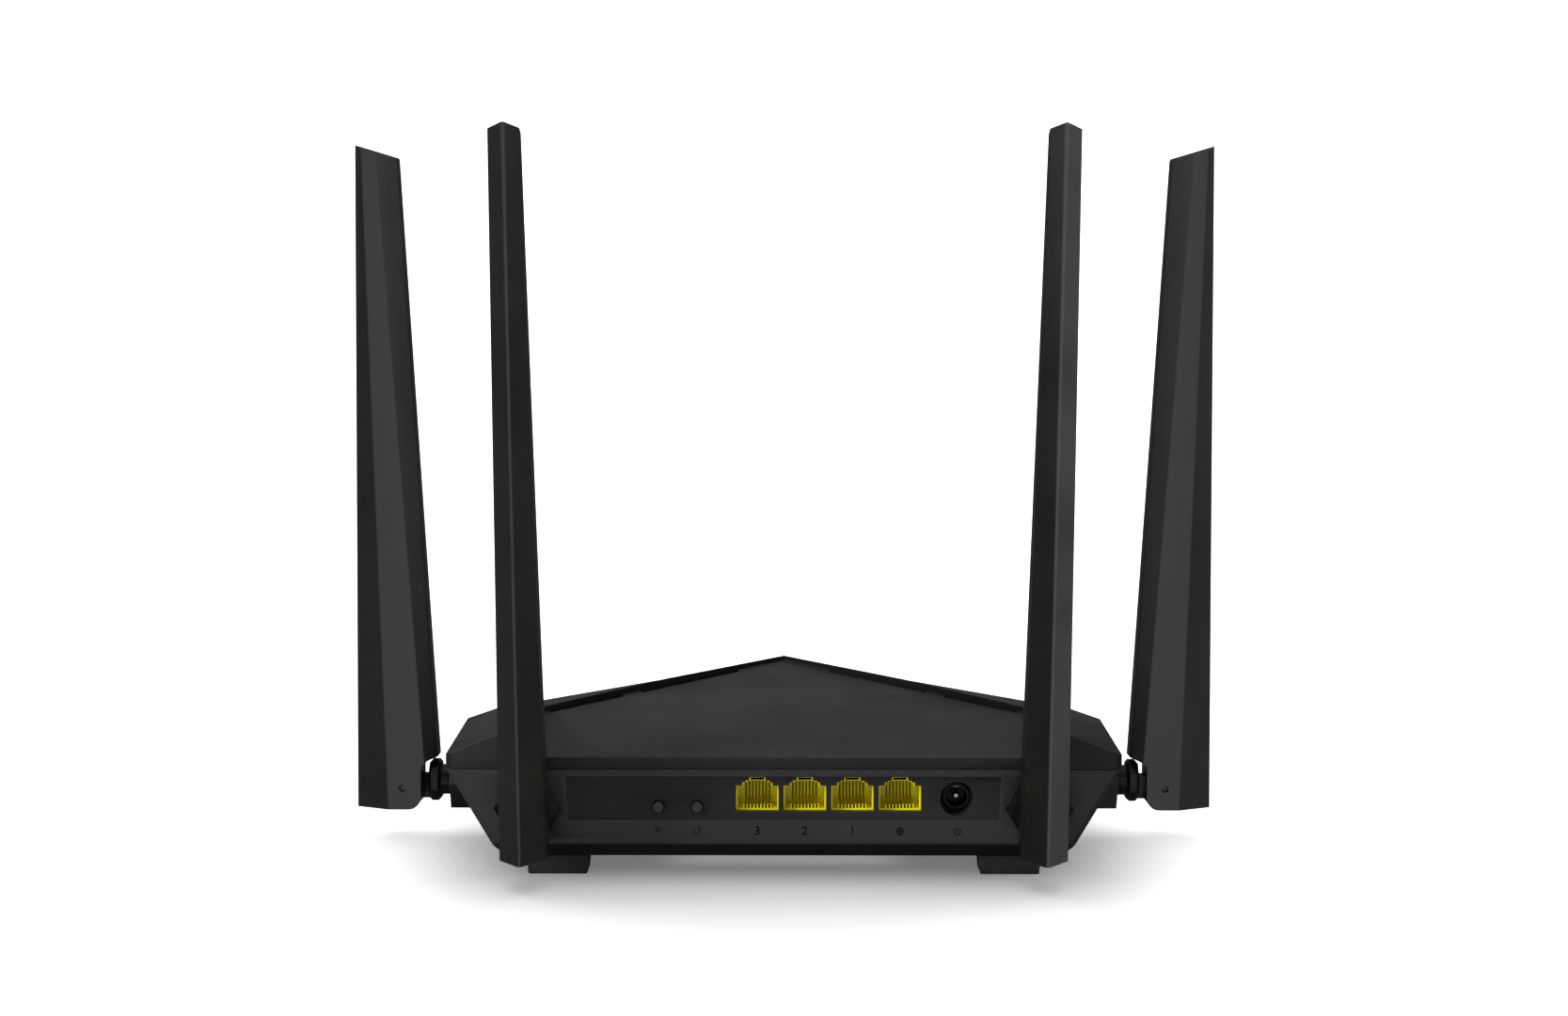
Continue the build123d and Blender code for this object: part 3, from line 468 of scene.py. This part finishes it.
def blade_bar():
    """Tapered bar with softened ridges, a closing groove inside and a roofed top."""
    bm = bmesh.new()
    rows = []
    for i in range(BLADE_ROWS + 1):
        k = i / BLADE_ROWS
        half = half_section(BLADE_START + k * (BLADE_TOP - BLADE_START))
        edge_w = half[-1].x
        groove = [Vector((edge_w, 0.2)), Vector((edge_w + 0.3, 0.0)), Vector((edge_w, -0.2))]
        ring = half + groove + [Vector((p.x, -p.y)) for p in reversed(half)]
        row = []
        for p in ring:
            u = (1 - k) * BLADE_START + k * top_height(p.x, p.y)
            row.append(bm.verts.new((p.x, p.y, u)))
        rows.append(row)
    count = len(rows[0])
    for low, high in zip(rows, rows[1:]):
        for j in range(count):
            n = (j + 1) % count
            bm.faces.new((low[j], low[n], high[n], high[j]))
    bm.faces.new(rows[0])
    top = rows[-1]
    side = (count - 3) // 2
    middle = [bm.verts.new((v.co.x, 0, top_height(v.co.x, 0))) for v in top[:side]]
    for j in range(side - 1):
        a, b = top[j], top[j + 1]
        c, d = top[count - 1 - j], top[count - 2 - j]
        bm.faces.new((a, middle[j], middle[j + 1], b))
        bm.faces.new((c, d, middle[j + 1], middle[j]))
    bm.faces.new((top[0], top[count - 1], middle[0]))
    for j in range(side - 1, side + 3):
        bm.faces.new((top[j], middle[-1], top[j + 1]))
    bmesh.ops.recalc_face_normals(bm, faces=bm.faces)
    return bm


def as_object(bm, name):
    mesh = bpy.data.meshes.new(name)
    bm.to_mesh(mesh)
    bm.free()
    piece = bpy.data.objects.new(name, mesh)
    bpy.context.scene.collection.objects.link(piece)
    return piece


def side_view_cutter():
    """Side view of the blade as a thick plate: rounded ear, hinge cut-out and square foot."""
    ear = []
    for i in range(9):
        angle = math.radians(-90 - 90 * i / 8)
        ear.append((-1.8 + 4.0 * math.cos(angle), -3.0 + 4.0 * math.sin(angle)))
    inner = [(-5.8, 6.9), (-7.9, 8.6), (-11.8, 10.2), (-13.5, 12.5), (-13.5, 215.0)]
    outline = ear + inner + [(20.0, 215.0), (20.0, -7.0), (4.1, -7.0)]
    bm = bmesh.new()
    near = [bm.verts.new((w, -12, u)) for w, u in outline]
    far = [bm.verts.new((w, 12, u)) for w, u in outline]
    count = len(outline)
    bm.faces.new(near)
    bm.faces.new(far)
    for j in range(count):
        n = (j + 1) % count
        bm.faces.new((near[j], near[n], far[n], far[j]))
    bmesh.ops.recalc_face_normals(bm, faces=bm.faces)
    return as_object(bm, "cutter")


def slot_cutter():
    """Room for the hinge tongue between the blade's two ears."""
    bm = bmesh.new()
    bmesh.ops.create_cube(bm, size=1.0)
    bmesh.ops.scale(bm, verts=bm.verts, vec=(18.5, 2 * SLOT_HALF, 13.5))
    bmesh.ops.translate(bm, verts=bm.verts, vec=(-4.75, 0, -2.25))
    return as_object(bm, "cutter")


def pin_cutter():
    bm = bmesh.new()
    turn = Matrix.Rotation(math.radians(90), 4, "X")
    bmesh.ops.create_cone(
        bm, cap_ends=True, segments=32, radius1=PIN_HOLE_R, radius2=PIN_HOLE_R, depth=18, matrix=turn
    )
    return as_object(bm, "cutter")


def carve(piece, cutter, operation):
    """Apply one cut and throw the cutter away."""
    cut = piece.modifiers.new("cut", "BOOLEAN")
    cut.operation = operation
    cut.solver = "EXACT"
    cut.object = cutter
    graph = bpy.context.evaluated_depsgraph_get()
    mesh = bpy.data.meshes.new_from_object(piece.evaluated_get(graph))
    piece.modifiers.clear()
    piece.data = mesh
    bpy.data.objects.remove(cutter)


def make_blades():
    """One clean skin for each antenna, in place of its shell and its cover."""
    pattern = as_object(blade_bar(), "blade_pattern")
    carve(pattern, side_view_cutter(), "INTERSECT")
    carve(pattern, slot_cutter(), "DIFFERENCE")
    carve(pattern, pin_cutter(), "DIFFERENCE")
    for name, (seat, lean, turn) in ANTENNAS.items():
        place = Matrix.Translation(Vector(seat) * MM)
        place @= Matrix.Rotation(math.radians(lean), 4, "Y") @ Matrix.Rotation(math.radians(turn), 4, "Z")
        place @= Matrix.Scale(MM, 4) @ Matrix.Translation((PIN_OUT, 0, -PIN_DROP))
        mesh = pattern.data.copy()
        mesh.transform(place)
        for polygon in mesh.polygons:
            polygon.use_smooth = True
        mesh.set_sharp_from_angle(angle=math.radians(28))
        mesh.materials.clear()
        mesh.materials.append(FINISH["antenna"])
        skin = bpy.data.objects.new("antenna_skin_" + name, mesh)
        bpy.context.scene.collection.objects.link(skin)
        add_edge(skin, 0.2, 35)
        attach(skin, "blade_body_" + name)
        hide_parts("antenna_shell_" + name, "antenna_cover_" + name)
    bpy.data.objects.remove(pattern)


make_blades()


# ---------------------------------------------------------------- marks under the sockets and buttons
MARK_Z = 13.95
MARK_HEIGHT = 1.95
ICON_SCALE = 1.3
STROKE = 0.22
SOCKET_X = [7.9 - 14.2 * i for i in range(4)]
WIRELESS_X = 37.5
RESET_X = 25.9
POWER_X = -51.8


def arc_points(x, z, radius, start, end, steps=20):
    points = []
    for i in range(steps + 1):
        angle = math.radians(start + (end - start) * i / steps)
        points.append((x + radius * math.cos(angle), z + radius * math.sin(angle)))
    return points


def stroke(bm, points):
    """Flat ribbon along a line of points, in the plane of the panel."""
    left, right = [], []
    for i, point in enumerate(points):
        a = Vector(points[max(i - 1, 0)])
        b = Vector(points[min(i + 1, len(points) - 1)])
        across = Vector((a.y - b.y, b.x - a.x)).normalized() * STROKE / 2
        left.append(bm.verts.new((point[0] + across.x, point[1] + across.y, 0)))
        right.append(bm.verts.new((point[0] - across.x, point[1] - across.y, 0)))
    for i in range(len(points) - 1):
        bm.faces.new((left[i], right[i], right[i + 1], left[i + 1]))


def wireless_mark(bm):
    for radius in (0.25, 0.75, 1.3):
        stroke(bm, arc_points(0, -0.6, radius, 45, 135))


def reset_mark(bm):
    stroke(bm, arc_points(0, 0, 0.7, 130, 410, 26))
    stroke(bm, [(0.2, 0.95), (0.45, 0.53), (0.93, 0.62)])


def globe_mark(bm):
    stroke(bm, arc_points(0, 0, 0.8, 0, 360, 28))
    stroke(bm, [(-0.8, 0), (0.8, 0)])
    stroke(bm, arc_points(1.0, 0, 1.28, 141, 219))
    stroke(bm, arc_points(-1.0, 0, 1.28, -39, 39))


def power_mark(bm):
    stroke(bm, arc_points(0, -0.05, 0.72, -235, 55, 26))
    stroke(bm, [(0, 0.1), (0, 0.95)])


def on_panel(mesh, x, z):
    """Stand a flat mark up on the rear face, read from behind the sockets."""
    upright = Matrix(((-1, 0, 0, x), (0, 0, 1, 0), (0, 1, 0, z), (0, 0, 0, 1)))
    mesh.transform(Matrix.Translation((0, REAR_Y, 0)) @ Matrix.Scale(MM, 4) @ upright)


def finish_mark(mesh, name, x):
    on_panel(mesh, x, MARK_Z)
    mesh.materials.clear()
    mesh.materials.append(FINISH["mark"])
    mark = bpy.data.objects.new(name, mesh)
    bpy.context.scene.collection.objects.link(mark)
    thick = mark.modifiers.new("thick", "SOLIDIFY")
    thick.thickness = 0.05 * MM
    thick.offset = 0.0
    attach(mark, "housing")


def make_marks():
    icons = {
        "mark_wireless": (wireless_mark, WIRELESS_X),
        "mark_reset": (reset_mark, RESET_X),
        "mark_globe": (globe_mark, SOCKET_X[3]),
        "mark_power": (power_mark, POWER_X),
    }
    for name, (draw, x) in icons.items():
        bm = bmesh.new()
        draw(bm)
        bmesh.ops.scale(bm, verts=bm.verts, vec=(ICON_SCALE, ICON_SCALE, 1.0))
        mesh = bpy.data.meshes.new(name)
        bm.to_mesh(mesh)
        bm.free()
        finish_mark(mesh, name, x)
    for i, digit in enumerate("321"):
        data = bpy.data.curves.new("digit", "FONT")
        data.body = digit
        data.size = MARK_HEIGHT / 0.54
        data.offset = 0.02
        data.align_x = "CENTER"
        data.align_y = "CENTER"
        text = bpy.data.objects.new("digit", data)
        bpy.context.scene.collection.objects.link(text)
        graph = bpy.context.evaluated_depsgraph_get()
        mesh = bpy.data.meshes.new_from_object(text.evaluated_get(graph))
        bpy.data.objects.remove(text)
        finish_mark(mesh, "mark_socket_" + digit, SOCKET_X[i])


make_marks()


# ---------------------------------------------------------------- painted shadow in the seam, socket details and their painted shade
def solid_boxes(name, blocks, finish):
    """One piece made of axis-aligned blocks, each given by two corners in mm."""
    bm = bmesh.new()
    for low_corner, high_corner in blocks:
        size = [abs(b - a) for a, b in zip(low_corner, high_corner)]
        middle = [(a + b) / 2 for a, b in zip(low_corner, high_corner)]
        made = bmesh.ops.create_cube(bm, size=1.0)["verts"]
        bmesh.ops.scale(bm, verts=made, vec=size)
        bmesh.ops.translate(bm, verts=made, vec=middle)
    bmesh.ops.scale(bm, verts=bm.verts, vec=(MM, MM, MM))
    piece = as_object(bm, name)
    piece.data.materials.append(FINISH[finish])
    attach(piece, "housing")


SEAM_LOW = 31.7
SEAM_HIGH = 33.3
SEAM_SHADOW_INSET = 0.9
SEAM_SHADOW_THICK = 0.5
RIGHT_OUTLINE = [(100.9, 56.1), (104.0, -29.9), (82.0, -60.9)]
NOSE = (0.0, -84.9)
BODY_OUTLINE = RIGHT_OUTLINE + [NOSE] + [(-x, y) for x, y in reversed(RIGHT_OUTLINE)]
REAR_CORNER = 2.4
CENTRE_Y = -10            # the slanted edges are drawn in toward this point
SLANT = 1.25              # and by this much more than the rear edge


def inset_outline(inset):
    """Body outline on the seam, drawn in, with its two rear corners cut short."""
    points = []
    for x, y in BODY_OUTLINE:
        side = math.copysign(1, x)
        if y == RIGHT_OUTLINE[0][1]:
            across = side * (abs(x) - inset)
            cut = [(across - side * REAR_CORNER, y - inset), (across, y - inset - REAR_CORNER)]
            points += cut if side > 0 else cut[::-1]
        else:
            away = Vector((x, y - CENTRE_Y))
            away *= 1 - inset * SLANT / away.length
            points.append((away.x, away.y + CENTRE_Y))
    return points


def make_seam_painted_shadow():
    """Band just inside the joint between the two shells, near-black as a painted shadow in the seam."""
    bm = bmesh.new()
    outer = inset_outline(SEAM_SHADOW_INSET)
    rows = [[bm.verts.new((x * MM, y * MM, z * MM)) for x, y in outer] for z in (SEAM_LOW, SEAM_HIGH)]
    count = len(outer)
    for j in range(count):
        n = (j + 1) % count
        bm.faces.new((rows[0][j], rows[0][n], rows[1][n], rows[1][j]))
    bmesh.ops.recalc_face_normals(bm, faces=bm.faces)
    seam_shadow = as_object(bm, "seam_painted_shadow")
    seam_shadow.data.materials.append(FINISH["painted_shadow_black"])
    thick = seam_shadow.modifiers.new("thick", "SOLIDIFY")
    thick.thickness = SEAM_SHADOW_THICK * MM
    thick.offset = -1.0
    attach(seam_shadow, "housing")


FACE_Y = 52.6             # front of the socket block
CONTACT_PITCH = 1.02


def make_socket_details():
    # painted shadow: near-black boxes in the latch notches; painted shade: darker yellow boxes at the back
    # wall where the contacts sit and behind the teeth
    slot_shades, latch_shadows, teeth, teeth_shade = [], [], [], []
    for x in SOCKET_X:
        latch_shadows.append(((x - 1.95, FACE_Y - 3.0, 28.75), (x + 1.95, FACE_Y - 1.0, 29.4)))
        teeth_shade.append(((x - 4.3, FACE_Y - 2.6, 20.15), (x + 4.3, FACE_Y - 2.3, 21.3)))
        for k in range(8):
            middle = x + (k - 3.5) * CONTACT_PITCH
            slot_shades.append(((middle - 0.25, FACE_Y - 12.3, 22.0), (middle + 0.25, FACE_Y - 11.6, 26.4)))
        for k in range(9):
            middle = x + (k - 4) * CONTACT_PITCH
            teeth.append(((middle - 0.17, FACE_Y - 2.2, 20.1), (middle + 0.17, FACE_Y - 0.25, 21.35)))
    solid_boxes("socket_slot_painted_shade", slot_shades, "painted_shade_yellow")
    solid_boxes("socket_latch_painted_shadows", latch_shadows, "painted_shadow_black")
    solid_boxes("socket_teeth", teeth, "yellow")
    solid_boxes("socket_teeth_painted_shade", teeth_shade, "painted_shade_yellow")


make_seam_painted_shadow()
make_socket_details()


# ---------------------------------------------------------------- stage, light and camera
def make_floor():
    """Pale floor that curves up into a backdrop far behind the object."""
    mesh = bpy.data.meshes.new("floor")
    bm = bmesh.new()
    back, radius, top = -2.2, 0.8, 2.6
    line = [(3.5, 0.0), (back + radius, 0.0)]
    steps = 16
    for i in range(1, steps):
        angle = math.pi / 2 * i / steps
        line.append((back + radius - radius * math.sin(angle), radius - radius * math.cos(angle)))
    line.append((back, top))
    rows = []
    for x in (-4.0, 4.0):
        rows.append([bm.verts.new((x, y, z + GROUND_Z)) for y, z in line])
    for i in range(len(line) - 1):
        bm.faces.new((rows[0][i], rows[1][i], rows[1][i + 1], rows[0][i + 1]))
    bm.to_mesh(mesh)
    bm.free()
    for polygon in mesh.polygons:
        polygon.use_smooth = True
    floor = bpy.data.objects.new("floor", mesh)
    bpy.context.scene.collection.objects.link(floor)
    # the floor glows weakly near the object as a painted shadow and fully far from it
    mesh.materials.append(glowing_floor_with_painted_shadow("floor_glow_painted_shadow", 0.93, 0.16, 0.90))
    floor.visible_glossy = False
    floor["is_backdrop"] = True


def softbox(name, place, aim, width, height, power, lights_only=None):
    """Area light; with lights_only, it lights only the pieces whose names start as listed."""
    light = bpy.data.lights.new(name, "AREA")
    light.shape = "RECTANGLE"
    light.size = width
    light.size_y = height
    light.energy = power
    lamp = bpy.data.objects.new(name, light)
    lamp.location = place
    lamp.visible_glossy = False
    direction = Vector(aim) - Vector(place)
    lamp.rotation_euler = direction.to_track_quat("-Z", "Y").to_euler()
    bpy.context.scene.collection.objects.link(lamp)
    if lights_only:
        lit = bpy.data.collections.new(name + "_lit")
        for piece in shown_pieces():
            if piece.name.startswith(lights_only):
                lit.objects.link(piece)
        lamp.light_linking.receiver_collection = lit


def blend_value(tree, operation, a, b):
    node = tree.nodes.new("ShaderNodeMath")
    node.operation = operation
    for value, socket in ((a, node.inputs[0]), (b, node.inputs[1])):
        if isinstance(value, float):
            socket.default_value = value
        else:
            tree.links.new(value, socket)
    return node.outputs[0]


AMBIENT = 0.45            # even light on matt surfaces
MIRRORED = 0.06           # surroundings seen in the plastic
MIRRORED_UP = 0.40        # lighter overhead
UP_FALLOFF = 3.0
MIRRORED_REAR = 0.60      # and lightest on the side the sockets face
REAR_FALLOFF = 6.0


def make_world():
    """White for the camera; a darker, graded room for reflections."""
    world = bpy.data.worlds.new("studio")
    bpy.context.scene.world = world
    world.use_nodes = True
    tree = world.node_tree
    tree.nodes.clear()
    output = tree.nodes.new("ShaderNodeOutputWorld")
    background = tree.nodes.new("ShaderNodeBackground")
    path = tree.nodes.new("ShaderNodeLightPath")
    coords = tree.nodes.new("ShaderNodeTexCoord")
    axes = tree.nodes.new("ShaderNodeSeparateXYZ")
    tree.links.new(coords.outputs["Generated"], axes.inputs[0])
    mirrored = MIRRORED
    for axis, amount, falloff in (("Y", MIRRORED_REAR, REAR_FALLOFF), ("Z", MIRRORED_UP, UP_FALLOFF)):
        lobe = blend_value(tree, "POWER", blend_value(tree, "MAXIMUM", axes.outputs[axis], 0.0), falloff)
        mirrored = blend_value(tree, "ADD", blend_value(tree, "MULTIPLY", lobe, amount), mirrored)
    glossy = path.outputs["Is Glossy Ray"]
    matt = blend_value(tree, "MULTIPLY", blend_value(tree, "SUBTRACT", 1.0, glossy), AMBIENT)
    strength = blend_value(tree, "ADD", matt, blend_value(tree, "MULTIPLY", mirrored, glossy))
    strength = blend_value(tree, "MAXIMUM", strength, path.outputs["Is Camera Ray"])
    tree.links.new(strength, background.inputs["Strength"])
    tree.links.new(background.outputs["Background"], output.inputs["Surface"])
    background.inputs["Color"].default_value = (1, 1, 1, 1)


BODY = ("top_cover", "lower_housing", "lan_", "socket_", "power_", "wireless_", "reset_", "rubber_")
SOCKETS = ("lan_", "socket_")
COVER = ("top_cover",)
SIDE_BLADES = ("antenna_skin_side",)
LEFT_SIDE_BLADE = ("antenna_skin_side_left",)
LEFT_REAR_BLADE = ("antenna_skin_rear_left",)
RIGHT_REAR_BLADE = ("antenna_skin_rear_right",)
BODY_AT = (0.0, 0.0, 0.05)


def make_light():
    make_world()
    softbox("key_box", (0.2, -1.0, 1.8), (0.0, 0.0, 0.0), 2.2, 2.2, 21.0)
    softbox("body_fill", (0.60, 0.32, 0.36), BODY_AT, 0.25, 0.25, 7.4, BODY)
    softbox("socket_fill", (0.15, 0.90, 0.25), (0.0, REAR_Y, 0.025), 0.2, 0.2, 0.75, SOCKETS)
    softbox("blade_fill", (0.0, 1.4, 0.4), (0.0, 0.0, 0.1), 0.3, 0.3, 4.4, SIDE_BLADES)
    softbox("rear_strip", (-0.46, 0.59, 0.2), (-0.08, 0.08, 0.15), 0.08, 0.7, 20.0, LEFT_REAR_BLADE)
    softbox("far_rear_fill", (0.12, 1.2, 0.4), (0.08, 0.07, 0.12), 0.3, 0.3, 5.5, RIGHT_REAR_BLADE)
    softbox("cover_fill", (-0.35, -0.25, 0.35), BODY_AT, 0.2, 0.2, 1.5, COVER)
    softbox("side_strip", (-0.7, -0.06, 0.2), (0.0, 0.07, 0.15), 0.08, 0.7, 4.0, LEFT_SIDE_BLADE)


CAMERA_DISTANCE = 0.810   # behind the rear face
CAMERA_HEIGHT = 0.1629
CAMERA_PITCH = 3.7
CAMERA_ROLL = 0.08
FOCAL_MM = 62.95


def make_camera():
    data = bpy.data.cameras.new("camera")
    data.sensor_width = 36.0
    data.lens = FOCAL_MM
    camera = bpy.data.objects.new("camera", data)
    bpy.context.scene.collection.objects.link(camera)
    camera.location = (0.00006, REAR_Y + CAMERA_DISTANCE, CAMERA_HEIGHT)
    aim = Matrix.Rotation(math.pi, 4, "Z") @ Matrix.Rotation(math.radians(90 - CAMERA_PITCH), 4, "X")
    roll = Matrix.Rotation(math.radians(CAMERA_ROLL), 4, "Z")
    camera.rotation_euler = (aim @ roll).to_euler()
    bpy.context.scene.camera = camera


make_floor()
make_light()
make_camera()
bpy.context.scene.view_settings.view_transform = "Standard"
